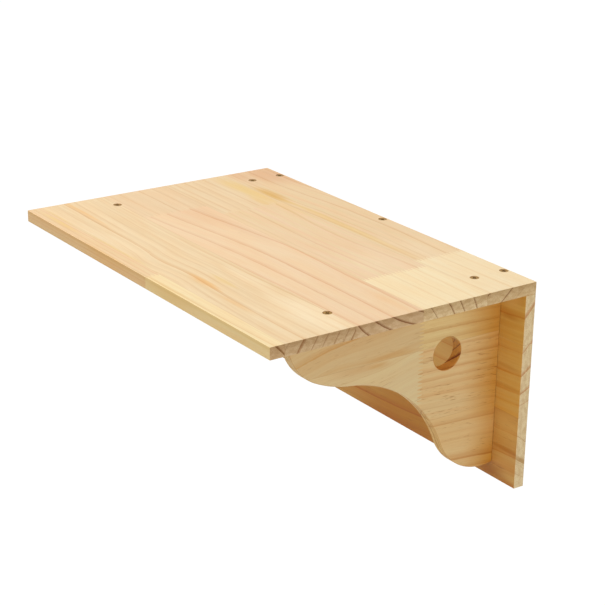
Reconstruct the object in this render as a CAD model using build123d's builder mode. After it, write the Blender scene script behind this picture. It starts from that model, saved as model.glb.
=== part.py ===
from build123d import *
from math import radians, tan
import os

# A wooden wall platform for a cat: a top board, a back board under its rear edge and
# two scrolled brackets, screwed together. All four are cut from one kind of glued
# panel, so each board is made whole first and then parted into the staves that it is
# glued up from, with finger joints where two lengths of one row meet.
# The origin is the centre of the back board's rear face, which lies on the wall.
# +Z is up, the shelf stands out along -Y, and +X is to the right seen from the front.

# Boards
shelf_width = 450.0
shelf_depth = 300.0
board_thickness = 12.0
back_height = 200.0
edge_radius = 0.5

# Brackets: how far their outer faces stand in from the ends of the top, and how far
# the scroll stays back from the front edge and above the foot of the back board
left_bracket_inset = 27.0
right_bracket_inset = 34.0
nose_setback = 41.0
heel_rise = 16.0
bracket_edge_chamfer = 0.6
# the places where the nose runs into the flatter lip, the lip into the cove and the
# cove into the heel, as shares of the bracket's reach from the back board and of its
# drop below the top
nose_end_shares = (0.873, 0.274)
lip_end_shares = (0.7155, 0.3375)
cove_end_shares = (0.273, 0.80)

# The round hole through each bracket, placed by shares of the same two lengths
bracket_hole_radius = 16.5
bracket_hole_shares = (0.259, 0.30)

# Panel: finger joints along a row of staves
finger_length = 5.5
finger_pitch = 4.0
finger_tip = 0.8
# glue lines between the rows, as shares of the top's depth from the wall, of the back
# board's height and of a bracket's drop from the top down
top_row_shares = (0.2, 0.45, 0.7, 0.95)
back_row_shares = (0.25, 0.625)
bracket_row_shares = (0.245, 0.652)
# joints, one group for each row in the same order, as shares of the row's length from
# the left end of the top and the back board and from a bracket's nose
top_joint_shares = ((0.763,), (0.262, 0.799), (0.191,), (), (0.54,))
back_joint_shares = ((0.66,), (0.41,), (0.22,))
bracket_joint_shares = ((0.613,), (0.613,), ())

# Screws, all alike, with flat heads sunk a little below the wood
screw_length = 30.0
screw_head_radius = 4.25
screw_shank_radius = 1.8
screw_point_length = 4.0
screw_sink = 0.25
screw_clearance = 0.3
pilot_spare_depth = 2.0
countersink_angle = 90.0
# places of the screws into the brackets, as shares of a bracket's reach along the
# top and of its drop down the back board, and of the screws into the back board's
# top edge, as a share of its thickness from the wall
top_screw_shares = (0.1215, 0.8095)
rear_screw_shares = (0.26, 0.80)
back_screw_share = 0.46

# Holes for the wall's screws, in from the ends and the long edges of the back board
wall_hole_radius = 2.5
wall_countersink_radius = 5.0
wall_hole_end_inset = 75.0
wall_hole_edge_inset = 35.0

# How far cutting shapes run past the wood
overrun = 5.0

half_width = shelf_width / 2
underside = back_height / 2
top_surface = underside + board_thickness
back_front = -board_thickness
bracket_reach = shelf_depth - board_thickness - nose_setback
bracket_drop = back_height - heel_rise
bracket_centres = {
    "left": -half_width + left_bracket_inset + board_thickness / 2,
    "right": half_width - right_bracket_inset - board_thickness / 2,
}

screw_slope = tan(radians(countersink_angle / 2))
screw_head_height = (screw_head_radius - screw_shank_radius) / screw_slope
screw_seat_radius = screw_head_radius + screw_sink * screw_slope
screw_hole_radius = screw_shank_radius + screw_clearance
pilot_depth = screw_length - board_thickness + screw_sink + pilot_spare_depth

# Places of the screws: through the top into the brackets, through the top into the
# back board, and from behind through the back board into the brackets
top_screw_rows = [back_front - share * bracket_reach for share in top_screw_shares]
bracket_top_places = [(x, y) for x in bracket_centres.values() for y in top_screw_rows]
back_screw_row = -back_screw_share * board_thickness
back_screw_middle = (bracket_centres["left"] + bracket_centres["right"]) / 2
back_top_places = [
    (bracket_centres["left"], back_screw_row),
    (back_screw_middle, back_screw_row),
    (bracket_centres["right"], back_screw_row),
]
rear_screw_heights = [underside - share * bracket_drop for share in rear_screw_shares]
bracket_rear_places = [(x, z) for x in bracket_centres.values() for z in rear_screw_heights]

os.makedirs("parts", exist_ok=True)


def save(piece, name):
    piece.part.label = name
    export_step(piece.part, "parts/" + name + ".step")


def looking_up(places, height):
    # drilling places on a level face, with the hole below
    return Locations(*[(x, y, height) for x, y in places])


def looking_back(places, y):
    # drilling places on a face that looks at the wall, with the hole in front of it
    return Locations(*[Plane(origin=(x, y, z), z_dir=(0, 1, 0)) for x, z in places])


def looking_front(places, y):
    # drilling places on a face that looks away from the wall
    return Locations(*[Plane(origin=(x, y, z), z_dir=(0, -1, 0)) for x, z in places])


def screw_hole():
    CounterSinkHole(screw_hole_radius, screw_seat_radius, board_thickness, countersink_angle)


# Top board, eased all round, with the countersunk holes of its seven screws
with BuildPart() as top_board:
    with Locations((0, -shelf_depth / 2, underside + board_thickness / 2)):
        Box(shelf_width, shelf_depth, board_thickness)
    fillet(top_board.edges(), edge_radius)
    with looking_up(bracket_top_places + back_top_places, top_surface):
        screw_hole()

# Back board: pilot holes in its top edge, holes from behind for the brackets' screws
# and holes from the front for the wall's screws
wall_hole_x = half_width - wall_hole_end_inset
wall_hole_z = back_height / 2 - wall_hole_edge_inset
wall_places = [(x, z) for x in (-wall_hole_x, wall_hole_x) for z in (-wall_hole_z, wall_hole_z)]

with BuildPart() as back_board:
    with Locations((0, -board_thickness / 2, 0)):
        Box(shelf_width, board_thickness, back_height)
    fillet(back_board.edges(), edge_radius)
    with looking_up(back_top_places, underside):
        Hole(screw_shank_radius, pilot_depth)
    with looking_back(bracket_rear_places, 0):
        screw_hole()
    with looking_front(wall_places, back_front):
        CounterSinkHole(
            wall_hole_radius, wall_countersink_radius, board_thickness, countersink_angle
        )


def bracket_point(shares):
    # a point of the bracket's side, from its shares of the reach and of the drop
    return (back_front - shares[0] * bracket_reach, underside - shares[1] * bracket_drop)


def make_bracket(centre):
    # The outline runs up the back board and out along the top. Then the scroll closes
    # it: a rounded nose square to the top, a flatter lip, a hollow cove and a rounded
    # heel, each tangent to the next.
    outer_face = centre + board_thickness / 2
    with BuildPart() as bracket:
        with BuildSketch(Plane.YZ.offset(outer_face - board_thickness)):
            with BuildLine():
                sides = Polyline(bracket_point((0, 1)), bracket_point((0, 0)), bracket_point((1, 0)))
                nose = TangentArc(sides @ 1, bracket_point(nose_end_shares), tangent=(0, -1))
                lip = TangentArc(nose @ 1, bracket_point(lip_end_shares), tangent=nose % 1)
                cove = TangentArc(lip @ 1, bracket_point(cove_end_shares), tangent=lip % 1)
                TangentArc(cove @ 1, sides @ 0, tangent=cove % 1)
            make_face()
        extrude(amount=board_thickness)
        hole_y, hole_z = bracket_point(bracket_hole_shares)
        with Locations(Plane(origin=(outer_face, hole_y, hole_z), z_dir=(1, 0, 0))):
            Hole(bracket_hole_radius, board_thickness)
        chamfer(bracket.edges(), bracket_edge_chamfer)
        with looking_up([(centre, y) for y in top_screw_rows], underside):
            Hole(screw_shank_radius, pilot_depth)
        with looking_back([(centre, z) for z in rear_screw_heights], back_front):
            Hole(screw_shank_radius, pilot_depth)
    return bracket.part


def row_borders(length, row_shares):
    # distances between which the rows of staves run; the outer rows run past the wood
    borders = [-overrun] + [share * length for share in row_shares] + [length + overrun]
    return list(zip(borders, borders[1:]))


def finger_line(place, low, high):
    # corners of a finger joint across a row, in the panel's own plane: the first
    # number runs along the grain and the second across it
    count = max(1, round((high - low) / finger_pitch))
    pitch = (high - low) / count
    root = place - finger_length / 2
    tip = place + finger_length / 2
    corners = []
    for i in range(count):
        start = low + i * pitch
        corners.append((root, start + finger_tip / 2))
        corners.append((tip, start + pitch / 2 - finger_tip / 2))
        corners.append((tip, start + pitch / 2 + finger_tip / 2))
        corners.append((root, start + pitch - finger_tip / 2))
    return corners


def cell_between(low, high, before, after):
    # outline of a stretch of a row, between two lines across it
    first = [(before[0][0], low)] + before + [(before[-1][0], high)]
    second = [(after[0][0], low)] + after + [(after[-1][0], high)]
    return first + second[::-1]


def cut_out(board, plane, outline):
    # what the whole board holds within an outline drawn on its face
    with BuildPart() as cut:
        add(board)
        with BuildSketch(plane):
            with BuildLine():
                Polyline(*outline, close=True)
            make_face()
        extrude(amount=board_thickness + overrun * 2, mode=Mode.INTERSECT)
    return cut.part


def part_row(board, plane, low, high, span, joints, names):
    # One row of staves. Where the board's own outline cuts the tips off a joint's
    # fingers, the tips stay on the row's last stave.
    ends = [[(place, (low + high) / 2)] for place in (span[0] - overrun, span[1] + overrun)]
    lines = [ends[0]] + [finger_line(place, low, high) for place in joints] + [ends[1]]
    staves = []
    for before, after in zip(lines, lines[1:-1]):
        cut = cut_out(board, plane, cell_between(low, high, before, after))
        with BuildPart() as stave:
            add(cut.solids().sort_by(SortBy.VOLUME)[-1])
        staves.append(stave)
    with BuildPart() as last_stave:
        add(cut_out(board, plane, cell_between(low, high, ends[0], ends[1])))
        for stave in staves:
            add(stave.part, mode=Mode.SUBTRACT)
    for stave, name in zip(staves + [last_stave], names):
        save(stave, name)


def part_into_staves(board, plane, name, rows, span, joint_shares, endings):
    # every row of a board, numbered in the order given
    for number, (low, high) in enumerate(rows):
        joints = [span[0] + share * (span[1] - span[0]) for share in joint_shares[number]]
        row_name = name + "_stave_" + str(number + 1)
        names = [row_name + ending for ending in endings[len(joints)]]
        part_row(board, plane, low, high, span, joints, names)


# what the staves of a row are called, by the number of its joints
side_endings = [("",), ("_left", "_right"), ("_left", "_middle", "_right")]
depth_endings = [("",), ("_front", "_rear")]

part_into_staves(
    top_board.part,
    Plane.XY.offset(underside - overrun),
    "top",
    [(-far, -near) for near, far in row_borders(shelf_depth, top_row_shares)],
    (-half_width, half_width),
    top_joint_shares,
    side_endings,
)

part_into_staves(
    back_board.part,
    Plane.XZ.offset(-overrun),
    "back",
    [(underside - far, underside - near) for near, far in row_borders(back_height, back_row_shares)],
    (-half_width, half_width),
    back_joint_shares,
    side_endings,
)

bracket_rows = row_borders(bracket_drop, bracket_row_shares)
for side, centre in bracket_centres.items():
    part_into_staves(
        make_bracket(centre),
        Plane.YZ.offset(centre - board_thickness / 2 - overrun),
        side + "_bracket",
        [(underside - far, underside - near) for near, far in bracket_rows],
        (back_front - bracket_reach, back_front),
        bracket_joint_shares,
        depth_endings,
    )

# One screw, upright, with the middle of its flat head at the origin
with BuildPart() as screw:
    with BuildSketch(Plane.XZ):
        with BuildLine():
            Polyline(
                (0, 0),
                (screw_head_radius, 0),
                (screw_shank_radius, -screw_head_height),
                (screw_shank_radius, screw_point_length - screw_length),
                (0, -screw_length),
                close=True,
            )
        make_face()
    revolve(axis=Axis.Z)

with BuildPart() as bracket_top_screws:
    with looking_up(bracket_top_places, top_surface - screw_sink):
        add(screw.part)
save(bracket_top_screws, "bracket_top_screws")

with BuildPart() as back_board_top_screws:
    with looking_up(back_top_places, top_surface - screw_sink):
        add(screw.part)
save(back_board_top_screws, "back_board_top_screws")

with BuildPart() as bracket_rear_screws:
    with looking_back(bracket_rear_places, -screw_sink):
        add(screw.part)
save(bracket_rear_screws, "bracket_rear_screws")
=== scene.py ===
import math

import bpy
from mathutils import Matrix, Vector


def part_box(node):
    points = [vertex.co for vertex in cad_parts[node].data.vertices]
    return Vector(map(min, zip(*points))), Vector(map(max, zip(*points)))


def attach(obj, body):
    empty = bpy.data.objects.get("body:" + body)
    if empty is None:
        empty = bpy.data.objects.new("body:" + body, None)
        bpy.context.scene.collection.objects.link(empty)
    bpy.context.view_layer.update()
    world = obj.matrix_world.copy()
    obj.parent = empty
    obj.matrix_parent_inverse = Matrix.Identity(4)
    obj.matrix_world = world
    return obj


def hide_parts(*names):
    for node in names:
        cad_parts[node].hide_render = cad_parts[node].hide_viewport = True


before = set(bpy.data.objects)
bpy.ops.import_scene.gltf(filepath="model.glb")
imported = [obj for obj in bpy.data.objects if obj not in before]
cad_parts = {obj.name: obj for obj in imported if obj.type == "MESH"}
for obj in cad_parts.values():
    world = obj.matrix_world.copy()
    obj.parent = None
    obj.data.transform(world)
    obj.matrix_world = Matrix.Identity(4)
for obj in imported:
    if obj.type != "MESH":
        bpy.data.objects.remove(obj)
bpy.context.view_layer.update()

scene = bpy.context.scene
mm = 0.001  # the dictionaries give sizes in millimetres, and Blender takes metres
metre = 1000


# shader nodes: short ways to add one

def plug(tree, target, value):
    # a socket is linked, and a number or a colour of three numbers is typed in
    if isinstance(value, bpy.types.NodeSocket):
        tree.links.new(value, target)
    elif isinstance(value, (int, float)):
        target.default_value = value
    else:
        target.default_value = (*value, 1)


def calc(tree, operation, first, second=0.0, third=0.0):
    node = tree.nodes.new("ShaderNodeMath")
    node.operation = operation
    for socket, value in zip(node.inputs, (first, second, third)):
        plug(tree, socket, value)
    return node.outputs[0]


def distance(tree, first, second):
    return calc(tree, "ABSOLUTE", calc(tree, "SUBTRACT", first, second))


def radius(tree, first, second):
    squares = [calc(tree, "MULTIPLY", side, side) for side in (first, second)]
    return calc(tree, "SQRT", calc(tree, "ADD", *squares))


def rescale(tree, value, low, high, newLow=0.0, newHigh=1.0):
    node = tree.nodes.new("ShaderNodeMapRange")
    node.interpolation_type = "SMOOTHSTEP"
    for label, number in zip(("Value", "From Min", "From Max", "To Min", "To Max"),
                             (value, low, high, newLow, newHigh)):
        plug(tree, node.inputs[label], number)
    return node.outputs["Result"]


def blend(tree, kind, share, first, second):
    node = tree.nodes.new("ShaderNodeMix")
    node.data_type = "RGBA"
    node.blend_type = kind
    plug(tree, node.inputs["Factor"], share)
    plug(tree, node.inputs["A"], first)
    plug(tree, node.inputs["B"], second)
    return node.outputs["Result"]


# camera, light and floor

photoView = dict(
    place=(1311.4, -1038.2, 647.0),
    turn=(69.373, -0.876, 54.971),  # degrees, measured from the photograph's edges
    lens=100.9,
    sensor=36,
    clip=(50, 80000),
)

studio = dict(
    floorSize=40000,
    floorDrop=1000,  # the shelf hangs on a wall, well above the floor
    floorColour=(0.86, 0.86, 0.86),
    floorGlow=1.17,
    floorGlowShare=0.8,  # the rest of the floor still takes the shadow
    worldStrength=0.48,
    lamps=dict(
        overhead=dict(place=(-500, -700, 1900), aim=(0, -120, 60), size=1900, power=24.0),
        frontFill=dict(place=(300, -2200, 700), aim=(0, -150, 40), size=1500, power=6.0),
        sideFill=dict(place=(2300, -700, 500), aim=(0, -150, 40), size=1300, power=7.5),
    ),
)


def makeCamera():
    data = bpy.data.cameras.new("photoCamera")
    data.lens = photoView["lens"]
    data.sensor_width = photoView["sensor"]
    data.clip_start, data.clip_end = (reach * mm for reach in photoView["clip"])
    camera = bpy.data.objects.new("photoCamera", data)
    camera.location = Vector(photoView["place"]) * mm
    camera.rotation_euler = [math.radians(angle) for angle in photoView["turn"]]
    scene.collection.objects.link(camera)
    scene.camera = camera


def makeLamps():
    for name, lamp in studio["lamps"].items():
        data = bpy.data.lights.new(name, "AREA")
        data.shape = "DISK"
        data.size = lamp["size"] * mm
        data.energy = lamp["power"]
        light = bpy.data.objects.new(name, data)
        light.location = Vector(lamp["place"]) * mm
        beam = Vector(lamp["aim"]) - Vector(lamp["place"])
        light.rotation_euler = beam.to_track_quat("-Z", "Y").to_euler()
        scene.collection.objects.link(light)


def showWhite(tree, out, lit, white, share):
    # camera, glossy and transmission rays see the white shader in place of the lit one
    rays = tree.nodes.new("ShaderNodeLightPath").outputs
    seen = calc(tree, "MAXIMUM", rays["Is Camera Ray"], rays["Is Glossy Ray"])
    seen = calc(tree, "MAXIMUM", seen, rays["Is Transmission Ray"])
    mix = tree.nodes.new("ShaderNodeMixShader")
    tree.links.new(calc(tree, "MULTIPLY", seen, share), mix.inputs[0])
    tree.links.new(lit.outputs[0], mix.inputs[1])
    tree.links.new(white.outputs[0], mix.inputs[2])
    tree.links.new(mix.outputs[0], out.inputs["Surface"])


def makeWorld():
    scene.world = bpy.data.worlds.new("studioWorld")
    scene.world.use_nodes = True
    tree = scene.world.node_tree
    tree.nodes.clear()
    lit, white = tree.nodes.new("ShaderNodeBackground"), tree.nodes.new("ShaderNodeBackground")
    for background in (lit, white):
        background.inputs["Color"].default_value = (1, 1, 1, 1)
    lit.inputs["Strength"].default_value = studio["worldStrength"]
    showWhite(tree, tree.nodes.new("ShaderNodeOutputWorld"), lit, white, 1)


def makeFloor():
    bpy.ops.object.select_all(action="DESELECT")
    bpy.ops.mesh.primitive_plane_add(
        size=studio["floorSize"] * mm, location=(0, 0, -studio["floorDrop"] * mm))
    floor = bpy.context.active_object
    floor.name = "studioFloor"
    material = bpy.data.materials.new("studioFloor")
    material.use_nodes = True
    tree = material.node_tree
    tree.nodes.clear()
    lit, white = tree.nodes.new("ShaderNodeBsdfDiffuse"), tree.nodes.new("ShaderNodeEmission")
    lit.inputs["Color"].default_value = (*studio["floorColour"], 1)
    white.inputs["Strength"].default_value = studio["floorGlow"]
    out = tree.nodes.new("ShaderNodeOutputMaterial")
    showWhite(tree, out, lit, white, studio["floorGlowShare"])
    floor.data.materials.append(material)


makeCamera()
makeLamps()
makeWorld()
makeFloor()
scene.view_settings.view_transform = "Standard"
print("stage: camera, lamps and floor are in place")


# wood: shader node groups shared by every stave

# Each noise: the length of its cells along the grain, across it and through the board, or
# where only two are given, of the two axes that it is made for. A shift keeps it apart from
# another noise of the same axes.
woodNoise = dict(
    wander=dict(cells=(85, 40)),
    ripple=dict(cells=(9, 3)),
    jag=dict(cells=(1.6, 1.6)),
    broad=dict(cells=(210, 5, 6), detail=3),
    mottle=dict(cells=(70, 13, 6), shift=31),
    fine=dict(cells=(38, 0.8, 0.8), detail=3, roughness=0.6),
    canals=dict(cells=(10, 0.8, 0.8), detail=1),
    crowd=dict(cells=(60, 7, 6), detail=1),
    speckle=dict(cells=(0.55, 0.55, 4), detail=3, roughness=0.65),
    blotch=dict(cells=(7, 3.5), shift=11),
)

# A tint is what the wood's colour is multiplied by. A band is the stretch of a noise or mask
# over which something comes in, and its third and fourth number say how much of it.
woodLook = dict(
    toneBand=(0.34, 0.66),
    warmBand=(0.3, 0.7),
    warmTint=(1.0, 0.955, 0.90),
    ringBand=(0.25, 0.7, 1.05, 0.75),
    fibreBand=(0.25, 0.75, -0.10, 0.06),
    fibrePowers=(0.6, 1.0, 1.6),  # red, green and blue darken unequally along a fibre
    canalBand=(0.60, 0.72),
    crowdBand=(0.44, 0.62),
    dashTint=(0.58, 0.38, 0.21),
    blotchBand=(0.35, 0.65),
    blotchTint=(0.86, 0.80, 0.72),
    poreBand=(0.50, 0.34),
    poreTint=(0.78, 0.66, 0.58),
    endRingBand=(0.05, 0.5),
    endShadeTint=(0.77, 0.71, 0.63),
    cutRingBand=(0.1, 0.5),
    seamTint=(0.72, 0.58, 0.44),
    patchBand=(1.0, 0.15),
    roughness=dict(base=0.46, Fine=0.16, End=0.18),
    height=dict(Fine=0.8, Ring=0.25, Dashes=-0.15, Pores=1.6),
)

ringUnevenness = dict(ripple=0.9, jag=1.1)

# the finger joints that show on the brackets: small dark gaps beyond the fingers' tips
fingerJoint = dict(
    length=5.5,
    pitch=4,
    gap=0.6,
    fadeAlong=(1.3, 0.5),
    fadeAcross=(0.75, 0.2),
    sides=((1, 0.0, 0.2), (-1, 0.5, 0.45)),  # side of the joint, turn of the pitch, strength
    band=(0.5, 0.6),
)


def newGroup(name, numbers, colours, results):
    # the names of its number and colour inputs and of its outputs, of which Colour is a colour
    group = bpy.data.node_groups.new(name, "ShaderNodeTree")
    sockets = [("INPUT", label, "Float") for label in numbers]
    sockets += [("INPUT", label, "Color") for label in colours]
    sockets += [("OUTPUT", label, "Color" if label == "Colour" else "Float") for label in results]
    for side, label, kind in sockets:
        group.interface.new_socket(name=label, in_out=side, socket_type="NodeSocket" + kind)
    start, end = group.nodes.new("NodeGroupInput"), group.nodes.new("NodeGroupOutput")
    return group, start.outputs, end.inputs


def noise(tree, kind, axes, seed):
    # the seed takes each stave to another slice of the noise, so that no two look alike
    look = woodNoise[kind]
    places = [calc(tree, "DIVIDE", axis, cell) for axis, cell in zip(axes, look["cells"])]
    if len(places) == 3:
        seed = calc(tree, "ADD", places.pop(), seed)
    if "shift" in look:
        seed = calc(tree, "ADD", seed, look["shift"])
    point = tree.nodes.new("ShaderNodeCombineXYZ")
    for socket, value in zip(point.inputs, (*places, seed)):
        plug(tree, socket, value)
    node = tree.nodes.new("ShaderNodeTexNoise")
    node.inputs["Scale"].default_value = 1
    node.inputs["Detail"].default_value = look.get("detail", 2)
    node.inputs["Roughness"].default_value = look.get("roughness", 0.5)
    tree.links.new(point.outputs[0], node.inputs["Vector"])
    return node.outputs["Fac"]


def makeRingField():
    # where a point lies among the growth rings: the place, across the board, at which
    # its ring comes out on the face
    group, value, end = newGroup(
        "ringField", ("Along", "Across", "Depth", "Row Start", "Row End", "Lean First", "Lean Last",
                      "Drift First", "Drift Last", "Wander", "Seed"), (), ("Ring",))
    share = calc(group, "DIVIDE", calc(group, "SUBTRACT", value["Across"], value["Row Start"]),
                 calc(group, "SUBTRACT", value["Row End"], value["Row Start"]))
    moves = []
    for kind in ("Lean", "Drift"):
        spread = calc(group, "SUBTRACT", value[kind + " Last"], value[kind + " First"])
        moves.append(calc(group, "MULTIPLY_ADD", spread, share, value[kind + " First"]))
    lean, drift = moves
    ring = calc(group, "SUBTRACT", value["Across"], calc(group, "MULTIPLY", lean, value["Depth"]))
    ring = calc(group, "SUBTRACT", ring, drift)
    for kind, axes, most in (("wander", ("Along", "Across"), value["Wander"]),
                             ("ripple", ("Along", "Across"), ringUnevenness["ripple"]),
                             ("jag", ("Across", "Depth"), ringUnevenness["jag"])):
        uneven = noise(group, kind, [value[axis] for axis in axes], value["Seed"])
        uneven = calc(group, "MULTIPLY", calc(group, "SUBTRACT", uneven, 0.5), most)
        ring = calc(group, "ADD", ring, uneven)
    group.links.new(ring, end["Ring"])
    return group


def makeFibres():
    # streaks that follow the rings, from broad bands to single fibres, and the short
    # dark dashes of resin canals, which come in crowds
    group, value, end = newGroup(
        "fibres", ("Along", "Ring", "Depth", "Seed"), (), ("Broad", "Mottle", "Fine", "Dashes"))
    axes = [value[axis] for axis in ("Along", "Ring", "Depth")]
    for kind in ("broad", "mottle", "fine"):
        group.links.new(noise(group, kind, axes, value["Seed"]), end[kind.capitalize()])
    canals = rescale(group, noise(group, "canals", axes, value["Seed"]), *woodLook["canalBand"])
    crowd = rescale(group, noise(group, "crowd", axes, value["Seed"]), *woodLook["crowdBand"])
    group.links.new(calc(group, "MULTIPLY", canals, crowd), end["Dashes"])
    return group


def makeEndPores():
    # the speckle of cut cells where the board is cut across the grain
    group, value, end = newGroup(
        "endPores", ("Along", "Across", "Depth", "Seed"), (), ("Speckle", "Blotch"))
    axes = [value[axis] for axis in ("Across", "Depth", "Along")]
    group.links.new(noise(group, "speckle", axes, value["Seed"]), end["Speckle"])
    group.links.new(noise(group, "blotch", axes[:2], value["Seed"]), end["Blotch"])
    return group


def makePatch():
    # one soft streak of another colour, long along the grain, with a ragged edge
    group, value, end = newGroup(
        "patch", ("Along", "Across", "Centre Along", "Centre Across", "Half Length", "Half Width",
                  "Streaks", "Ragged"), (), ("Mask",))
    sides = []
    for axis, half in (("Along", "Half Length"), ("Across", "Half Width")):
        away = calc(group, "SUBTRACT", value[axis], value["Centre " + axis])
        sides.append(calc(group, "DIVIDE", away, value[half]))
    ragged = calc(group, "MULTIPLY_ADD", calc(group, "SUBTRACT", value["Streaks"], 0.5),
                  value["Ragged"], radius(group, *sides))
    group.links.new(rescale(group, ragged, *woodLook["patchBand"]), end["Mask"])
    return group


def makeFingerTips():
    # the gaps of a finger joint lie in two lines across the row, and the mottle breaks them up
    group, value, end = newGroup(
        "fingerTips", ("Along", "Across", "Joint", "Row Start", "Mottle"), (), ("Mask",))
    fromJoint = calc(group, "SUBTRACT", value["Along"], value["Joint"])
    fromRow = calc(group, "SUBTRACT", value["Across"], value["Row Start"])
    pitches = calc(group, "DIVIDE", fromRow, fingerJoint["pitch"])
    masks = []
    for side, turn, strength in fingerJoint["sides"]:
        tip = (fingerJoint["length"] / 2 + fingerJoint["gap"]) * side
        along = distance(group, fromJoint, tip)
        along = rescale(group, along, *fingerJoint["fadeAlong"], 0.0, strength)
        finger = calc(group, "FRACT", calc(group, "ADD", pitches, turn))
        across = calc(group, "MULTIPLY", distance(group, finger, 0.5), fingerJoint["pitch"])
        across = rescale(group, across, *fingerJoint["fadeAcross"])
        masks.append(calc(group, "MULTIPLY", along, across))
    broken = rescale(group, value["Mottle"], *fingerJoint["band"])
    group.links.new(calc(group, "MULTIPLY", calc(group, "MAXIMUM", *masks), broken), end["Mask"])
    return group


def makeWoodColour():
    # puts the rings, streaks and pores together into colour, gloss and relief
    group, value, end = newGroup(
        "woodColour",
        ("Ring", "Broad", "Mottle", "Fine", "Dashes", "Dash Shade", "Grain", "Speckle", "Blotch",
         "End", "End Shade", "Edge", "Seam", "Cut"),
        ("Tone", "Second Tone", "Ring Tint", "End Tone", "End Ring Tint", "Edge Tint", "Cut Tint"),
        ("Colour", "Roughness", "Height"))
    look = woodLook
    onFace = calc(group, "SUBTRACT", 1.0, value["End"])

    def tinted(colour, share, tint):
        return blend(group, "MULTIPLY", share, colour, tint)

    # the face: two tones, rings, fibres and resin canals
    colour = blend(group, "MIX", rescale(group, value["Broad"], *look["toneBand"]), value["Tone"],
                   value["Second Tone"])
    colour = tinted(colour, rescale(group, value["Mottle"], *look["warmBand"]), look["warmTint"])
    ringShade = rescale(group, value["Broad"], *look["ringBand"])
    ringShade = calc(group, "MULTIPLY", value["Ring"], ringShade)
    colour = tinted(colour, calc(group, "MULTIPLY", ringShade, onFace), value["Ring Tint"])
    grey = rescale(group, value["Fine"], *look["fibreBand"])
    grey = calc(group, "MULTIPLY_ADD", grey, value["Grain"], 1.0)
    streak = group.nodes.new("ShaderNodeCombineColor")
    for socket, power in zip(streak.inputs, look["fibrePowers"]):
        plug(group, socket, calc(group, "POWER", grey, power))
    colour = tinted(colour, 1.0, streak.outputs[0])
    dashShade = calc(group, "MULTIPLY", value["Dashes"], value["Dash Shade"])
    colour = tinted(colour, calc(group, "MULTIPLY", dashShade, onFace), look["dashTint"])
    colour = tinted(colour, value["Edge"], value["Edge Tint"])

    # the end grain: blotches, pores, rings and its own shade
    endGrain = value["End Tone"]
    for kind, band, tint in (("Blotch", "blotchBand", look["blotchTint"]),
                             ("Speckle", "poreBand", look["poreTint"]),
                             ("Ring", "endRingBand", value["End Ring Tint"])):
        endGrain = tinted(endGrain, rescale(group, value[kind], *look[band]), tint)
    endGrain = tinted(endGrain, value["End Shade"], look["endShadeTint"])
    colour = blend(group, "MIX", value["End"], colour, endGrain)

    # glue lines and the darker bevel, and the walls that were cut into the board: the cut tint is
    # partly the cut wood's colour and partly painted shade in the hole, and painted shadow in the
    # screw seats
    colour = tinted(colour, value["Seam"], look["seamTint"])
    colour = tinted(colour, value["Cut"], value["Cut Tint"])
    cutRing = rescale(group, value["Ring"], *look["cutRingBand"])
    colour = tinted(colour, calc(group, "MULTIPLY", value["Cut"], cutRing), value["End Ring Tint"])
    group.links.new(colour, end["Colour"])

    rough, height = look["roughness"]["base"], 0.0
    for kind in ("Fine", "End"):
        rough = calc(group, "MULTIPLY_ADD", value[kind], look["roughness"][kind], rough)
    masks = dict(value.items(), Pores=calc(group, "MULTIPLY", value["Speckle"], value["End"]))
    for kind in ("Fine", "Ring", "Dashes", "Pores"):
        height = calc(group, "MULTIPLY_ADD", masks[kind], look["height"][kind], height)
    group.links.new(rough, end["Roughness"])
    group.links.new(height, end["Height"])
    return group


groups = dict(ringField=makeRingField(), fibres=makeFibres(), endPores=makeEndPores(),
              patch=makePatch(), fingerTips=makeFingerTips(), woodColour=makeWoodColour())
print("stage: wood node groups are made")


# staves: what each board's wood looks like

# tones of the streaks and patches, 0 to 255
patchTones = dict(
    cream=(249, 226, 186),
    rose=(228, 184, 140),
    yellow=(236, 200, 126),
    ochre=(224, 180, 100),
    orange=(238, 190, 122),
    honeyWarm=(224, 174, 100),
    # partly the wood's amber and partly painted shade, for the bracket's corner by the wall
    amberWallWoodAndShade=(216, 156, 55),
    # painted light: a paler amber that lifts the back board's painted shade
    amberPaintedLight=(232, 188, 108),
    # painted shadow: the back board behind the bracket
    amberPaintedShadow=(196, 134, 43),
    rust=(184, 114, 28),
    buff=(232, 195, 138),
    # painted shadow: the bracket's shadow on the back board
    umberPaintedShadow=(174, 109, 34),
)

ringTints = dict(
    soft=(0.86, 0.72, 0.55),
    warm=(0.82, 0.64, 0.46),
    rosy=(0.80, 0.56, 0.40),
    deep=(0.72, 0.48, 0.27),
    glow=(0.86, 0.63, 0.34),
    honey=(0.82, 0.52, 0.20),
)

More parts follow.
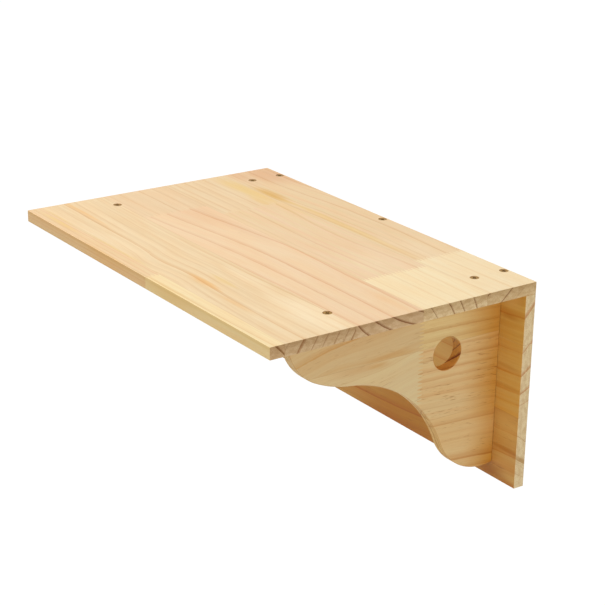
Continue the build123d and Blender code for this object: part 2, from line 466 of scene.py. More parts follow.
# Each board: the axes that lie along its grain, across it and through it, where its grain
# starts and ends, its width, the zero from which across is measured (the wall for the top, and
# elsewhere the top of the board) and the face from which depth is measured. endTone and endRing
# are for the end grain, and endShade gives the depths between which it darkens towards the face.
# edgeTint is for the long edges, and edgeShade how strong it is, from one depth to another.
# cutShadeTint is for the walls of the hole, partly the cut wood's colour and partly painted shade,
# and is painted shadow in the screw seats. grain is how strong the fibres are.
boards = dict(
    top=dict(along=0, across=1, through=2, length=(-225, 225), width=300, zero=0, face=112,
             endTone=(252, 223, 171), endRing=(0.42, 0.25, 0.14), endShade=(11, 0.5),
             edgeTint=(0.84, 0.755, 0.55), edgeShade=(4.5, 2, 0.72, 1), grain=0.55,
             # cutShadeTint: painted shadow in the screw seats
             cutShadeTint=(0.40, 0.25, 0.12)),
    back=dict(along=0, across=2, through=1, length=(-225, 225), width=200, zero=100, face=-12,
              endTone=(255, 230, 180), endRing=(0.78, 0.55, 0.42), edgeTint=(0.95, 0.9, 0.8),
              grain=0.7, cutShadeTint=(0.7, 0.5, 0.35)),
    right_bracket=dict(along=1, across=2, through=0, length=(-259, -12), width=184, zero=100,
                       face=191, endTone=(224, 182, 108), endRing=(0.52, 0.33, 0.19),
                       edgeTint=(0.90, 0.84, 0.68), grain=0.6, hole=(-75.97, 55.2),
                       # cutShadeTint: partly the cut wood's colour and partly painted shade inside
                       # the hole
                       cutShadeTint=(0.98, 0.73, 0.38)),
)
boards["left_bracket"] = dict(boards["right_bracket"], face=-186, endTone=(222, 178, 106))

bracketJoint = -107.6  # where the fingers of the brackets' first two rows meet
coveLines = ((6.8, 1.1, 1), (2.6, 0.8, 0.6))  # two rings that run round the cove and the heel

# Each stave: tones are its two shades, 0 to 255, which on the back board are partly the wood's
# and partly painted shade, tint the colour of its rings, and rings are (across, darkness, width),
# eight at most. lean is how far the rings slant through the thickness, wander how unevenly they
# run, and drift how far they move across at shares of the way along the board. lean and drift are
# given at the first and the last edge of the row, and the last drift is the first where it is left
# out. dash is the strength of the resin canals.
# patches are (along, across, half length, half width, tone, strength), and sawnLines are the
# rings that come out on the sawn outline, (depth, half width, strength). endTone, endRing,
# cutShadeTint and grain go before the board's own.
staves = dict(
    top_stave_1_left=dict(
        tones=((234, 206, 161), (238, 206, 163)), tint="warm", lean=(1.1, 1.1), wander=3,
        rings=((-3, .8, 5), (5, .35, 5), (20.6, .8, 5), (36, .3, 5), (45, .5, 3), (51, .3, 4),
               (57, .6, 4)),
        driftFirst=((0, 9), (.12, 9), (.34, -2), (.55, -6), (.78, 0), (1, 0)),
        driftLast=((0, 5), (.2, 5), (.4, 0), (1, 0)),
        patches=((-204, 18, 60, 30, "rose", .97), (-215, 45, 30, 16, "rose", .7),
                 (-180, 5, 55, 12, "rose", .6), (-190, 48, 30, 12, "rose", .3),
                 (120, 28, 110, 60, "cream", .35),
                 (-136, 54, 50, 10, "ochre", .95), (-10, 52, 160, 7, "yellow", .6))),
    top_stave_1_right=dict(
        tones=((247, 224, 181), (248, 227, 186)), tint="soft", lean=(1.1, 1.1), wander=2,
        endTone=(246, 215, 162), rings=((13, .25, 5), (30, .6, 5), (46, .2, 4), (57.4, .7, 4)),
        driftFirst=((0, 1.5), (.8, 1.5), (1, 0)), dash=.15),
    top_stave_2_left=dict(
        tones=((234, 205, 162), (238, 211, 170)), tint="soft", lean=(-.4, -.7), wander=2.5,
        rings=((79, .35, 4), (88, .6, 3.5), (101.5, .6, 4), (112, .6, 4), (123.5, .6, 4),
               (132, .4, 3)),
        patches=((-160, 68, 80, 13, "yellow", .8), (-122, 78, 40, 7, "yellow", .5),
                 (-190, 76, 50, 9, "yellow", .4))),
    top_stave_2_middle=dict(
        tones=((236, 207, 162), (239, 206, 167)), tint="warm", lean=(-.4, -.7), wander=2.5,
        rings=((70.6, .6, 5), (88, .2, 4), (98, .25, 4), (106, .65, 5), (118, .2, 4), (128, .3, 4)),
        driftFirst=((0, -1), (.27, -1), (.53, 8), (.78, 0), (1, 0)),
        driftLast=((0, 0), (.5, 1), (1, 0)),
        patches=((-90, 63, 60, 13, "yellow", .4), (110, 95, 75, 55, "cream", .3))),
    top_stave_2_right=dict(
        tones=((248, 225, 180), (249, 228, 185)), tint="soft", lean=(-.35, -.8), wander=1.5,
        rings=((77, .55, 4), (93, .55, 4), (106, .65, 4), (127, .45, 4)), dash=.1,
        driftFirst=((0, -3.5), (.8, -3.5), (1, 0)), driftLast=((0, -1), (.8, -1), (1, 0))),
    top_stave_3_left=dict(
        tones=((233, 202, 159), (237, 207, 166)), tint="soft", lean=(-2, -.9), wander=3,
        rings=((137, .3, 4), (153, .45, 4), (169, .85, 4), (193, .6, 4), (205, .3, 3))),
    top_stave_3_right=dict(
        tones=((241, 208, 168), (241, 211, 170)), tint="rosy", lean=(-2.3, -.7), wander=3,
        endTone=(241, 207, 160),
        rings=((141, .7, 7), (170.2, .75, 7), (189.8, .72, 6.5), (208.2, .65, 5)),
        driftFirst=((0, 22), (.21, 14), (.33, 7), (.46, 0), (.55, -4), (.78, -2), (1, 0)),
        driftLast=((0, 18), (.23, 13), (.5, 3), (.75, 0), (1, 0)),
        patches=((200, 147, 72, 9, "orange", .25), (-125, 162, 80, 34, "rose", .3),
                 (-80, 147, 130, 10, "rose", .3))),
    top_stave_4=dict(
        tones=((234, 205, 160), (241, 215, 173)), tint="warm", lean=(.55, .62), wander=3,
        endTone=(237, 204, 156), endRing=(0.62, 0.45, 0.32),
        rings=((211, .7, 4), (219, .42, 4), (229, .45, 4), (241, .4, 4), (252, .45, 4),
               (266, .8, 6), (281, .35, 4)),
        driftFirst=((0, 1), (.3, 7), (.55, 5), (.8, 1), (1, -3)),
        driftLast=((0, -12), (.38, -9), (.46, -3), (.58, -8), (.68, -4), (1, 0)),
        patches=((60, 261, 38, 6.5, "orange", .85), (-190, 255, 90, 4, "orange", .6),
                 (66, 245, 30, 7, "yellow", .5), (125, 267, 40, 4, "orange", .4),
                 (-60, 284, 90, 4, "yellow", .45), (-190, 284, 50, 4, "yellow", .4),
                 (-70, 271, 80, 8, "cream", .45), (185, 226, 95, 32, "cream", 1),
                 (75, 222, 60, 12, "cream", .5), (190, 263, 80, 16, "cream", .4))),
    top_stave_5_left=dict(
        tones=((236, 205, 158), (240, 206, 162)), tint="warm", lean=(1.1, 1.1), wander=2,
        rings=((288, .5, 3), (294, .5, 3), (299, .4, 3), (305, .5, 3), (311, .5, 3)),
        patches=((-170, 290, 50, 4, "yellow", .6), (-60, 300, 60, 4, "orange", .4))),
    top_stave_5_right=dict(
        tones=((245, 223, 175), (246, 221, 172)), tint="soft", lean=(-1.0, -1.0), wander=2,
        driftFirst=((0, 0), (.8, 0), (1, -2)),
        endTone=(235, 199, 150), endRing=(0.48, 0.34, 0.18),
        rings=((289, .3, 3), (297, .9, 5), (304, .1, 3)),
        patches=((60, 298, 60, 5, "yellow", .4),)),

    # the back board: its tones, darker and more orange than its pale end grain, are partly the
    # wood's and partly painted shade under the top and beside the brackets
    back_stave_1_left=dict(
        tones=((216, 168, 92), (214, 158, 74)), tint="deep", lean=(-1.1, -1), wander=4,
        rings=((10, .3, 6), (24, .5, 7), (38, .6, 7))),
    back_stave_1_right=dict(
        tones=((223, 177, 86), (218, 166, 74)), tint="honey", lean=(-1.1, -1), wander=2,
        rings=((23, .85, 10), (36, .2, 4), (47, .15, 5), (60.5, .85, 7)),
        driftFirst=((0, 0), (.85, 3), (.92, 2.4), (1, 0)),
        # the amberPaintedLight patch is painted light beside the bracket, where the top and the
        # bracket shade the board
        patches=((202, 9, 26, 12, "amberPaintedLight", .9), (204, 27, 20, 4, "rust", .4))),
    back_stave_2_left=dict(
        tones=((214, 158, 74), (212, 152, 78)), tint="deep", lean=(-.95, -.1), wander=4,
        rings=((58, .5, 6), (70, .4, 5), (88, .7, 7), (104, .4, 5), (118, .7, 6))),
    back_stave_2_right=dict(
        tones=((221, 168, 77), (222, 175, 90)), tint="honey", lean=(-.95, -.1), wander=2,
        rings=((58, .5, 6), (81.5, .75, 7), (100, .65, 6), (112, .4, 4)),
        driftFirst=((0, 0), (.85, 3), (.92, 2.4), (1, 0)),
        # the amberPaintedLight patch is painted light on the shaded board, where it shows through
        # the bracket's hole
        patches=((100, 92, 60, 30, "amberPaintedLight", .85), (205, 78, 30, 4, "rust", .3),
                 (205, 98, 30, 3, "rust", .25))),
    back_stave_3_left=dict(
        tones=((214, 158, 74), (212, 152, 78)), tint="deep", lean=(.9, .6), wander=5,
        rings=((134, .4, 6), (150, .8, 8), (166, .5, 5), (182, .9, 7), (194, .4, 5))),
    back_stave_3_right=dict(
        tones=((208, 153, 74), (212, 163, 86)), tint="honey", lean=(.9, .6), wander=3,
        rings=((144, .45, 6), (167.5, 1, 9), (173, .3, 4), (183, .3, 7), (194, .2, 5)), dash=.5,
        endRing=(0.74, 0.62, 0.48),
        driftFirst=((0, 20), (.467, 17), (.544, 15.5), (.633, 12.5), (.85, 3.2), (.92, 2.4),
                    (1, 0)),
        # the amber patch is painted shadow on the back board behind the bracket
        patches=((60, 188, 130, 70, "amberPaintedShadow", 1), (50, 204, 120, 22, "rust", 1),
                 # the amberPaintedLight patch is painted light on the shaded board
                 (212, 140, 30, 20, "amberPaintedLight", .4), (212, 164, 34, 4, "rust", .7),
                 # the umber patch is the bracket's shadow on the back board, painted in
                 (187, 195, 37, 15, "umberPaintedShadow", 1), (214, 198, 26, 6, "rust", .7))),

    right_bracket_stave_1_front=dict(
        tones=((231, 196, 139), (236, 206, 151)), tint="glow", lean=(.3, .3), wander=1.5,
        joint=bracketJoint, rings=((21, 1, 8), (43, .25, 8)), dash=.25, grain=.35,
        endTone=(238, 206, 148), endRing=(0.93, 0.86, 0.76),
        driftFirst=((0, 13), (.04, 10.3), (.126, 5), (.223, -1), (.3, -6), (.4, -12), (1, -14)),
        driftLast=((0, 16), (.04, 11), (.126, 5), (.223, 0), (.4, 1), (.64, -3), (1, -4)),
        patches=((-138, 43, 42, 5, "honeyWarm", .5),)),
    right_bracket_stave_1_rear=dict(
        tones=((240, 208, 143), (245, 216, 152)), tint="deep", lean=(1, 1), wander=2,
        joint=bracketJoint,
        rings=((12, .3, 4), (21, .3, 5), (32, .55, 6), (41.5, .4, 5), (50, .5, 4)),
        driftFirst=((0, -8), (.6, -6), (1, 0)), driftLast=((0, -4), (.6, -2), (1, 0)), dash=.3,
        # the amberWallWoodAndShade patch: partly the wood's colour, partly painted shade towards
        # the wall corner
        patches=((0, 40, 75, 130, "amberWallWoodAndShade", .92),), cutShadeTint=(1, 0.92, 0.72)),
    right_bracket_stave_2_front=dict(
        tones=((243, 218, 164), (241, 213, 159)), tint="soft", lean=(.2, .2), wander=2,
        joint=bracketJoint, rings=((47, .4, 8), (62, .15, 6)), dash=.35, grain=.45,
        driftFirst=((0, 12), (.4, 8), (.64, -4), (1, -6)),
        patches=((-180, 48, 50, 9, "buff", .9), (-158, 49, 20, 4, "honeyWarm", .5))),
    right_bracket_stave_2_rear=dict(
        tones=((241, 201, 140), (244, 211, 152)), tint="deep", lean=(1, 1), wander=2.5,
        joint=bracketJoint,
        rings=((42, .4, 4), (50.5, .45, 4), (61.5, .65, 7), (73, .4, 5), (83, .5, 5), (91, .25, 4),
               (100, .3, 5), (114, .4, 5)),
        driftFirst=((0, -3), (.6, -2), (1, 0)), driftLast=((0, -12), (.6, -9), (1, 0)), dash=.8,
        # the amberWallWoodAndShade patch: partly the wood's colour, partly painted shade towards
        # the wall corner
        patches=((0, 90, 62, 140, "amberWallWoodAndShade", .90),),
        sawnLines=coveLines),
    right_bracket_stave_3=dict(
        tones=((244, 208, 146), (242, 203, 140)), tint="deep", lean=(.6, -.3), wander=2.5,
        rings=((132, .7, 8), (143, .2, 4), (152, .3, 5), (174, 1, 11), (184, .5, 5)),
        endTone=(236, 196, 124), endRing=(0.86, 0.75, 0.61),
        sawnLines=coveLines,
        driftFirst=((0, -6), (.6, -5), (1, 0)), driftLast=((0, -14), (.6, -10), (1, 0)), dash=.6,
        # the amberWallWoodAndShade patches: partly the wood's colour, partly painted shade towards
        # the wall corner
        patches=((0, 190, 58, 90, "amberWallWoodAndShade", 1), (0, 118, 58, 34, "amberWallWoodAndShade", .8))),
)

# the left bracket is another board of the same wood, a little darker and redder
leftBracket = dict(rearShift=4, frontShift=-5, shade=(0.95, 0.88, 0.82))
for name, stave in list(staves.items()):
    if name.startswith("right_bracket"):
        shift = leftBracket["rearShift" if "rear" in name else "frontShift"]
        staves[name.replace("right", "left")] = dict(
            stave,
            rings=[(place + shift, shade, width) for place, shade, width in stave["rings"]],
            tones=[[part * less for part, less in zip(tone, leftBracket["shade"])]
                   for tone in stave["tones"]])


# what every stave's material has in common, with bands as above
staveFinish = dict(
    seedStep=7.3,
    bump=dict(strength=0.35, distance=0.25),
    specular=0.35,
    turnedBand=(0.45, 0.85),  # how far a surface is turned before it counts as end or edge
    glueLineBand=(0.35, 0.1, 0.0, 0.4),
    boardEdge=1,  # a row that ends nearer to the board's edge than this ends at it
    dash=0.1,
    ragged=1.2,  # a patch's edge, less on a wide patch
    raggedWidth=8,
)

ringRange = dict(
    drift=60,  # a curve runs from 0 to 1, which stands for this many millimetres
    margin=12,  # how far rings are drawn past the edges of their row
    profile=((-0.8, 0), (-0.2, 0.45), (0, 1), (0.12, 0)),  # shares of a ring's width and shade
)

# the sawn outline and the hole of a bracket
sawnEdge = dict(
    bevelBand=(0.97, 0.85),
    bevelEndBand=(0.3, 0.5),
    bevelShade=0.55,
    wallBand=(0.4, 0.2),
    holeBand=(17.3, 16.7),  # a little more than the hole's own radius
    lineWobble=2.4,
    lineCore=0.3,
)

# the countersunk seats of the screws in the top, where shadow is painted, are the only slopes
# clear of its edges
screwSeat = dict(slopeBand=(0.95, 0.8), steepBand=(0.1, 0.3), along=222, across=(1.2, 298))


def linear(colour):
    # 0 to 255 as seen on a screen, to the linear numbers that a shader takes: the sRGB curve,
    # without its straight foot, which only colours darker than all of these reach
    return [((part / 255 + 0.055) / 1.055) ** 2.4 for part in colour]


def useGroup(tree, group, **values):
    node = tree.nodes.new("ShaderNodeGroup")
    node.node_tree = groups[group]
    for label, value in values.items():
        plug(tree, node.inputs[label.replace("_", " ")], value)
    return node.outputs


def driftCurve(tree, share, points):
    # how far the rings move across, read off a curve along the board
    node = tree.nodes.new("ShaderNodeFloatCurve")
    curve = node.mapping.curves[0]
    ordered = [(place, 0.5 + move / ringRange["drift"]) for place, move in points]
    curve.points[0].location, curve.points[-1].location = ordered[0], ordered[-1]
    for spot in ordered[1:-1]:
        curve.points.new(*spot)
    node.mapping.update()
    plug(tree, node.inputs["Value"], share)
    return calc(tree, "MULTIPLY", calc(tree, "SUBTRACT", node.outputs[0], 0.5), ringRange["drift"])


def ringRamp(tree, ring, rings, start, end):
    # one dark line for each ring: slowly darker, then pale again at once; a ramp holds eight
    low, high = start - ringRange["margin"], end + ringRange["margin"]
    node = tree.nodes.new("ShaderNodeValToRGB")
    ramp = node.color_ramp
    ramp.interpolation = "EASE"
    stops = sorted(((middle + width * step - low) / (high - low), shade * dark)
                   for middle, shade, width in rings for step, dark in ringRange["profile"])
    stops = [(min(max(place, 0), 1), shade) for place, shade in stops]
    ramp.elements[0].position, ramp.elements[1].position = stops[0][0], stops[-1][0]
    ramp.elements[0].color = ramp.elements[1].color = (0, 0, 0, 1)
    for place, shade in stops[1:-1]:
        ramp.elements.new(place).color = (shade, shade, shade, 1)
    share = calc(tree, "DIVIDE", calc(tree, "SUBTRACT", ring, low), high - low)
    plug(tree, node.inputs["Fac"], share)
    return node.outputs["Color"]


def turned(tree, facing, axis):
    # how far a surface faces along an axis, either way
    return calc(tree, "ABSOLUTE", facing.outputs[axis])


def glueLines(tree, across, edges, width):
    # a glue line shows only where a row meets another row, not along the board's edge
    seam = 0.0
    for edge in edges:
        if staveFinish["boardEdge"] < edge < width - staveFinish["boardEdge"]:
            line = rescale(tree, distance(tree, across, edge), *staveFinish["glueLineBand"])
            seam = calc(tree, "MAXIMUM", seam, line)
    return seam


def sawnOutline(tree, stave, board, place, flat, mottle):
    # the darker bevel and ring lines of the sawn outline, and the wall of the hole, which the
    # cut tint darkens, partly with painted shade
    bevel = calc(tree, "MULTIPLY", rescale(tree, flat, *sawnEdge["bevelBand"]),
                 rescale(tree, flat, *sawnEdge["bevelEndBand"]))
    seam = calc(tree, "MULTIPLY", bevel, sawnEdge["bevelShade"])
    sides = [calc(tree, "SUBTRACT", place[axis], middle)
             for axis, middle in zip(("along", "across"), board["hole"])]
    cut = rescale(tree, radius(tree, *sides), *sawnEdge["holeBand"])
    wall = calc(tree, "SUBTRACT", rescale(tree, flat, *sawnEdge["wallBand"]), cut)
    wobble = calc(tree, "MULTIPLY_ADD", mottle, sawnEdge["lineWobble"], place["depth"])
    for depth, halfWidth, strength in stave.get("sawnLines", ()):
        away = distance(tree, wobble, depth + sawnEdge["lineWobble"] / 2)
        line = rescale(tree, away, halfWidth, halfWidth * sawnEdge["lineCore"], 0.0, strength)
        seam = calc(tree, "MAXIMUM", seam, calc(tree, "MULTIPLY", line, wall))
    return seam, cut


def screwSeatShadow(tree, place, up):
    # the mask of the screw seats, where the cut tint paints shadow
    near, far = screwSeat["across"]
    cut = calc(tree, "LESS_THAN", calc(tree, "ABSOLUTE", place["along"]), screwSeat["along"])
    for limit in (calc(tree, "GREATER_THAN", place["across"], near),
                  calc(tree, "LESS_THAN", place["across"], far),
                  rescale(tree, up, *screwSeat["slopeBand"]),
                  rescale(tree, up, *screwSeat["steepBand"])):
        cut = calc(tree, "MULTIPLY", cut, limit)
    return cut


def addPatches(tree, tones, patches, at, streaks):
    # each patch is laid over both tones
    for along, across, halfLength, halfWidth, colour, strength in patches:
        ragged = min(staveFinish["ragged"], staveFinish["raggedWidth"] / halfWidth)
        mask = useGroup(tree, "patch", **at, Centre_Along=along, Centre_Across=across,
                        Half_Length=halfLength, Half_Width=halfWidth, Streaks=streaks,
                        Ragged=ragged)["Mask"]
        mask = calc(tree, "MULTIPLY", mask, strength)
        tones = [blend(tree, "MIX", mask, tone, linear(patchTones[colour])) for tone in tones]
    return tones


def makeStaveMaterial(name, stave, board, seed):
    material = bpy.data.materials.new(name)
    material.use_nodes = True
    tree = material.node_tree
    coordinate = tree.nodes.new("ShaderNodeTexCoord")
    where, facing = tree.nodes.new("ShaderNodeSeparateXYZ"), tree.nodes.new("ShaderNodeSeparateXYZ")
    tree.links.new(coordinate.outputs["Object"], where.inputs[0])
    tree.links.new(coordinate.outputs["Normal"], facing.inputs[0])
    fromFace = calc(tree, "MULTIPLY_ADD", where.outputs[board["through"]], metre, -board["face"])
    place = dict(
        along=calc(tree, "MULTIPLY", where.outputs[board["along"]], metre),
        across=calc(tree, "MULTIPLY_ADD", where.outputs[board["across"]], -metre, board["zero"]),
        depth=calc(tree, "ABSOLUTE", fromFace),
    )
    at = dict(Along=place["along"], Across=place["across"])
    inside = dict(Depth=place["depth"], Seed=seed)
    row = sorted(board["zero"] - corner[board["across"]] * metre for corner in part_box(name))

    # rings, and all that follows them
    first, last = board["length"]
    share = calc(tree, "DIVIDE", calc(tree, "SUBTRACT", place["along"], first), last - first)
    driftFirst = stave.get("driftFirst", ((0, 0), (1, 0)))
    ring = useGroup(
        tree, "ringField", **at, **inside, Row_Start=row[0], Row_End=row[1],
        Lean_First=stave["lean"][0], Lean_Last=stave["lean"][1], Wander=stave["wander"],
        Drift_First=driftCurve(tree, share, driftFirst),
        Drift_Last=driftCurve(tree, share, stave.get("driftLast", driftFirst)),
    )["Ring"]
    fibre = useGroup(tree, "fibres", Along=place["along"], Ring=ring, **inside)
    pores = useGroup(tree, "endPores", **at, **inside)

    tones = [linear(colour) for colour in stave["tones"]]
    tones = addPatches(tree, tones, stave.get("patches", ()), at, fibre["Broad"])

    # edges, cuts and glue lines
    endOn, edgeOn = (rescale(tree, turned(tree, facing, board[side]), *staveFinish["turnedBand"])
                     for side in ("along", "across"))
    endShade = rescale(tree, place["depth"], *board["endShade"]) if "endShade" in board else 0.0
    if "edgeShade" in board:
        edgeOn = calc(tree, "MULTIPLY", edgeOn, rescale(tree, place["depth"], *board["edgeShade"]))
    seam = glueLines(tree, place["across"], row, board["width"])
    cut = 0.0
    if "hole" in board:
        flat = turned(tree, facing, board["through"])
        sawn, cut = sawnOutline(tree, stave, board, place, flat, fibre["Mottle"])
        seam = calc(tree, "MAXIMUM", seam, sawn)
    elif name.startswith("top"):
        cut = screwSeatShadow(tree, place, facing.outputs[2])
    dashes = fibre["Dashes"]
    if "joint" in stave:
        tips = useGroup(tree, "fingerTips", **at, Joint=stave["joint"], Row_Start=row[0],
                        Mottle=fibre["Mottle"])["Mask"]
        dashes = calc(tree, "MAXIMUM", dashes, tips)

    # a stave's own value goes before its board's
    look = {**board, **stave}
    wood = useGroup(
        tree, "woodColour", Tone=tones[0], Second_Tone=tones[1], Grain=look["grain"],
        Ring_Tint=ringTints[stave["tint"]], End_Tone=linear(look["endTone"]),
        End_Ring_Tint=look["endRing"], Edge_Tint=board["edgeTint"], Cut_Tint=look["cutShadeTint"],
        Ring=ringRamp(tree, ring, stave["rings"], *row), Broad=fibre["Broad"],
        Mottle=fibre["Mottle"], Fine=fibre["Fine"], Dashes=dashes,
        Dash_Shade=stave.get("dash", staveFinish["dash"]), Speckle=pores["Speckle"],
        Blotch=pores["Blotch"], End=endOn, End_Shade=endShade, Edge=edgeOn, Seam=seam, Cut=cut)
    shader = tree.nodes["Principled BSDF"]
    shader.inputs["Specular IOR Level"].default_value = staveFinish["specular"]
    showSurface(tree, wood, staveFinish["bump"])
    return material


def showSurface(tree, surface, relief):
    # a group's colour, gloss and relief, led to the material's own shader
    shader, bump = tree.nodes["Principled BSDF"], tree.nodes.new("ShaderNodeBump")
    bump.inputs["Strength"].default_value = relief["strength"]
    bump.inputs["Distance"].default_value = relief["distance"] * mm
    tree.links.new(surface["Colour"], shader.inputs["Base Color"])
    tree.links.new(surface["Roughness"], shader.inputs["Roughness"])
    tree.links.new(surface["Height"], bump.inputs["Height"])
    tree.links.new(bump.outputs["Normal"], shader.inputs["Normal"])


for number, (name, stave) in enumerate(staves.items()):
    board = boards[name.split("_stave_")[0]]
    material = makeStaveMaterial(name, stave, board, number * staveFinish["seedStep"])
    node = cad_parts[name]
    node.data.materials.clear()
    node.data.materials.append(material)
print("stage: every stave has its wood")


# screws: one is modelled upright with the middle of its head at the origin, and copied

screwSize = dict(
    length=30,
    headRadius=4.25,
    rimRounding=0.15,
    rimDrop=0.12,
    rimHeight=0.2,
    shankRadius=1.5,
    plainLength=9,
    taperLength=0.8,
    coreRadius=1.25,
    pointLength=4,
    sides=40,
    smoothAngle=35,
)

screwThread = dict(
    radius=1.8,
    root=1.15,  # a little inside the core
    pitch=1.8,
    crestShare=0.28,
    start=0.4,  # below the plain shank
    leftAtTip=2,
    stepsPerTurn=14,
    thinning=0.78,
    thinningSteps=(1.0, 0.75, 0.5, 0.25),  # shares of the point's length
)

screwRecess = dict(
    width=5.4,
    wing=1.7,
    depth=2.0,
    bottomShare=0.42,
)

screwFinish = dict(
    plating=dict(bright=(0.46, 0.26, 0.045), dull=(0.26, 0.125, 0.016), metallic=1.0),
    # the recess: the same plating made darker, painted shade in the hollow
    shadedRecess=dict(bright=(0.13, 0.055, 0.008), dull=(0.078, 0.033, 0.0048), metallic=0.9),
)

screwWear = dict(
    detail=3,
    patches=dict(scale=700, band=(0.35, 0.65)),
    scratches=dict(scale=3500, band=(0.3, 0.7, 0.34, 0.55)),
    bump=dict(strength=0.2, distance=0.05),
)

# where the screws stand
screwLayout = dict(
    sink=0.25,  # how far a head lies below the face
    brackets=(-192, 185),
    middle=-3.5,
    bracketRows=(-42, -211.95),
    backRow=-5.52,
    rearRows=(52.16, -47.2),
)


def placeRows():
    # the middle of each head, and the turn from upright
    brackets, sink = screwLayout["brackets"], screwLayout["sink"]
    top = boards["top"]["face"] - sink
    left, right = brackets
    return dict(
        bracket_top_screws=[((x, y, top), 0) for x in brackets for y in screwLayout["bracketRows"]],
        back_board_top_screws=[((x, screwLayout["backRow"], top), 0)
                               for x in (left, screwLayout["middle"], right)],
        bracket_rear_screws=[((x, -sink, z), -90)
                             for x in brackets for z in screwLayout["rearRows"]],
    )


def startPiece(name):
    # a single point at the origin, to be drawn out into a profile
    bpy.ops.object.select_all(action="DESELECT")
    bpy.ops.mesh.primitive_plane_add(size=1 * mm, location=(0, 0, 0))
    piece = bpy.context.active_object
    piece.name = name
    bpy.ops.object.mode_set(mode="EDIT")
    bpy.ops.mesh.select_all(action="SELECT")
    bpy.ops.mesh.merge(type="CENTER")
    return piece


def drawTo(points):
    # the line goes from point to point, as by extruding its last vertex
    here = (0, 0)
    for x, z in points:
        step = ((x - here[0]) * mm, 0, (z - here[1]) * mm)
        bpy.ops.mesh.extrude_region_move(TRANSFORM_OT_translate=dict(value=step))
        here = (x, z)


def pickVertices(piece, wanted):
    bpy.ops.object.mode_set(mode="EDIT")
    bpy.ops.mesh.select_mode(type="VERT")
    bpy.ops.mesh.select_all(action="DESELECT")
    bpy.ops.object.mode_set(mode="OBJECT")
    for vertex in piece.data.vertices:
        vertex.select = wanted(vertex.co / mm)
    bpy.ops.object.mode_set(mode="EDIT")


def makeScrewBody():
    body = startPiece("screwBody")
    head, shank, core = (screwSize[part] for part in ("headRadius", "shankRadius", "coreRadius"))
    rim, plain, tip = -screwSize["rimHeight"], -screwSize["plainLength"], -screwSize["length"]
    drawTo([(head - screwSize["rimRounding"], 0), (head, -screwSize["rimDrop"]), (head, rim),
            (shank, rim - (head - shank)), (shank, plain), (core, plain - screwSize["taperLength"]),
            (core, tip + screwSize["pointLength"]), (0, tip)])
    bpy.ops.mesh.select_all(action="SELECT")
    bpy.ops.mesh.spin(steps=screwSize["sides"], angle=math.tau, center=(0, 0, 0), axis=(0, 0, 1))
    bpy.ops.mesh.select_all(action="SELECT")
    bpy.ops.mesh.remove_doubles(threshold=0.001 * mm)
    bpy.ops.mesh.normals_make_consistent(inside=False)
    bpy.ops.object.mode_set(mode="OBJECT")
    return body


def makeThread():
    # a ridge of three-sided section that winds down the shank, thinner at the point
    root, pitch, crest = screwThread["root"], screwThread["pitch"], screwThread["crestShare"]
    plain, tip = screwSize["plainLength"], screwSize["length"]
    top = -plain - screwThread["start"]
    thread = startPiece("screwThread")
    drawTo([(root, top), (screwThread["radius"], top - pitch * crest),
            (root, top - pitch * crest * 2)])
    pickVertices(thread, lambda spot: spot.x < root / 2)
    bpy.ops.mesh.delete(type="VERT")
    bpy.ops.mesh.select_all(action="SELECT")
    bpy.ops.mesh.edge_face_add()
    bpy.ops.mesh.delete(type="ONLY_FACE")
    bpy.ops.object.mode_set(mode="OBJECT")
    wind = thread.modifiers.new("wind", "SCREW")
    wind.axis = "Z"
    wind.angle = math.tau
    wind.screw_offset = -pitch * mm
    wind.iterations = int((tip - plain - screwThread["leftAtTip"]) / pitch)
    wind.steps = wind.render_steps = screwThread["stepsPerTurn"]
    wind.use_smooth_shade = True
    bpy.ops.object.modifier_apply(modifier=wind.name)
    for share in screwThread["thinningSteps"]:
        pickVertices(thread, lambda spot: spot.z < screwSize["pointLength"] * share - tip)
        thin = screwThread["thinning"]
        bpy.ops.transform.resize(value=(thin, thin, 1), center_override=(0, 0, 0))
    bpy.ops.mesh.select_all(action="DESELECT")
    bpy.ops.mesh.select_non_manifold()
    bpy.ops.mesh.fill()
    bpy.ops.mesh.select_all(action="SELECT")
    bpy.ops.mesh.normals_make_consistent(inside=False)
    bpy.ops.object.mode_set(mode="OBJECT")
    return thread


def cutRecess(body, finish):
    # two crossed wedges taken out of the head; their walls take the darker recess finish, painted
    # shade
    width, wing, narrow = (screwRecess[part] for part in ("width", "wing", "bottomShare"))
    for wedgeSize in ((width, wing), (wing, width)):
        bpy.ops.object.select_all(action="DESELECT")
        bpy.ops.mesh.primitive_cube_add(size=1, location=(0, 0, 0))
        wedge = bpy.context.active_object
        bpy.ops.object.mode_set(mode="EDIT")
        box = [side * mm for side in (*wedgeSize, screwRecess["depth"] * 2)]
        bpy.ops.transform.resize(value=box)
        pickVertices(wedge, lambda spot: spot.z < 0)
        bpy.ops.transform.resize(value=(narrow, narrow, 1), center_override=(0, 0, 0))
        bpy.ops.object.mode_set(mode="OBJECT")
        wedge.data.materials.append(finish)
        bpy.context.view_layer.objects.active = body
        take = body.modifiers.new("shadedRecess", "BOOLEAN")
        take.operation, take.object, take.solver = "DIFFERENCE", wedge, "EXACT"
        take.material_mode = "TRANSFER"
        bpy.ops.object.modifier_apply(modifier=take.name)
        bpy.data.objects.remove(wedge, do_unlink=True)


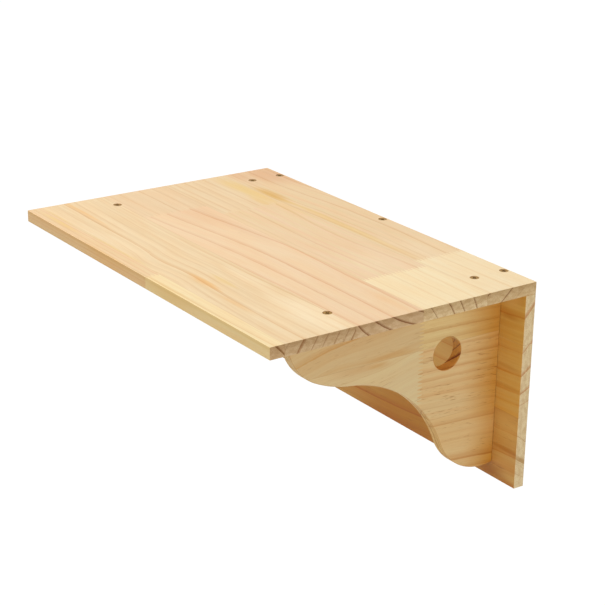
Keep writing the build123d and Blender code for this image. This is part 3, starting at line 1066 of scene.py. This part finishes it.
def makeScrewWear():
    # tarnished patches in the plating, and fine scratches in its gloss and relief
    group, value, end = newGroup(
        "screwWear", (), ("Bright", "Dull"), ("Colour", "Roughness", "Height"))
    coordinate = group.nodes.new("ShaderNodeTexCoord")
    marks = {}
    for kind in ("patches", "scratches"):
        node = group.nodes.new("ShaderNodeTexNoise")
        node.inputs["Scale"].default_value = screwWear[kind]["scale"]
        node.inputs["Detail"].default_value = screwWear["detail"]
        group.links.new(coordinate.outputs["Object"], node.inputs["Vector"])
        marks[kind] = node.outputs["Fac"]
    worn = rescale(group, marks["patches"], *screwWear["patches"]["band"])
    group.links.new(blend(group, "MIX", worn, value["Bright"], value["Dull"]), end["Colour"])
    gloss = rescale(group, marks["scratches"], *screwWear["scratches"]["band"])
    group.links.new(gloss, end["Roughness"])
    group.links.new(marks["scratches"], end["Height"])
    return group


def makeScrewMaterial(kind):
    finish = screwFinish[kind]
    material = bpy.data.materials.new("screw" + kind.capitalize())
    material.use_nodes = True
    tree = material.node_tree
    tree.nodes["Principled BSDF"].inputs["Metallic"].default_value = finish["metallic"]
    showSurface(tree, useGroup(tree, "screwWear", Bright=finish["bright"], Dull=finish["dull"]),
                screwWear["bump"])
    return material


def makeScrew():
    plating, shadedRecess = makeScrewMaterial("plating"), makeScrewMaterial("shadedRecess")
    body = makeScrewBody()
    body.data.materials.append(plating)
    cutRecess(body, shadedRecess)
    thread = makeThread()
    thread.data.materials.append(plating)
    bpy.ops.object.select_all(action="DESELECT")
    thread.select_set(True)
    body.select_set(True)
    bpy.context.view_layer.objects.active = body
    bpy.ops.object.join()
    bpy.ops.object.shade_smooth_by_angle(angle=math.radians(screwSize["smoothAngle"]))
    return body


def placeScrews(pattern, name, places):
    # copies of the screw, driven in and joined into the one piece that stands for the node
    copies = []
    for place, tilt in places:
        one = pattern.copy()
        one.data = pattern.data.copy()
        scene.collection.objects.link(one)
        one.location = Vector(place) * mm
        one.rotation_euler = (math.radians(tilt), 0, 0)
        copies.append(one)
    bpy.ops.object.select_all(action="DESELECT")
    for one in copies:
        one.select_set(True)
    bpy.context.view_layer.objects.active = copies[0]
    bpy.context.view_layer.update()
    bpy.ops.object.transform_apply(location=True, rotation=True, scale=True)
    bpy.ops.object.join()
    piece = bpy.context.active_object
    piece.name = name
    return piece


groups["screwWear"] = makeScrewWear()
pattern = makeScrew()
for nodeName, places in placeRows().items():
    piece = placeScrews(pattern, nodeName + "_made", places)
    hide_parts(nodeName)
    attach(piece, "root")
bpy.data.objects.remove(pattern, do_unlink=True)
print("stage: screws are driven in")
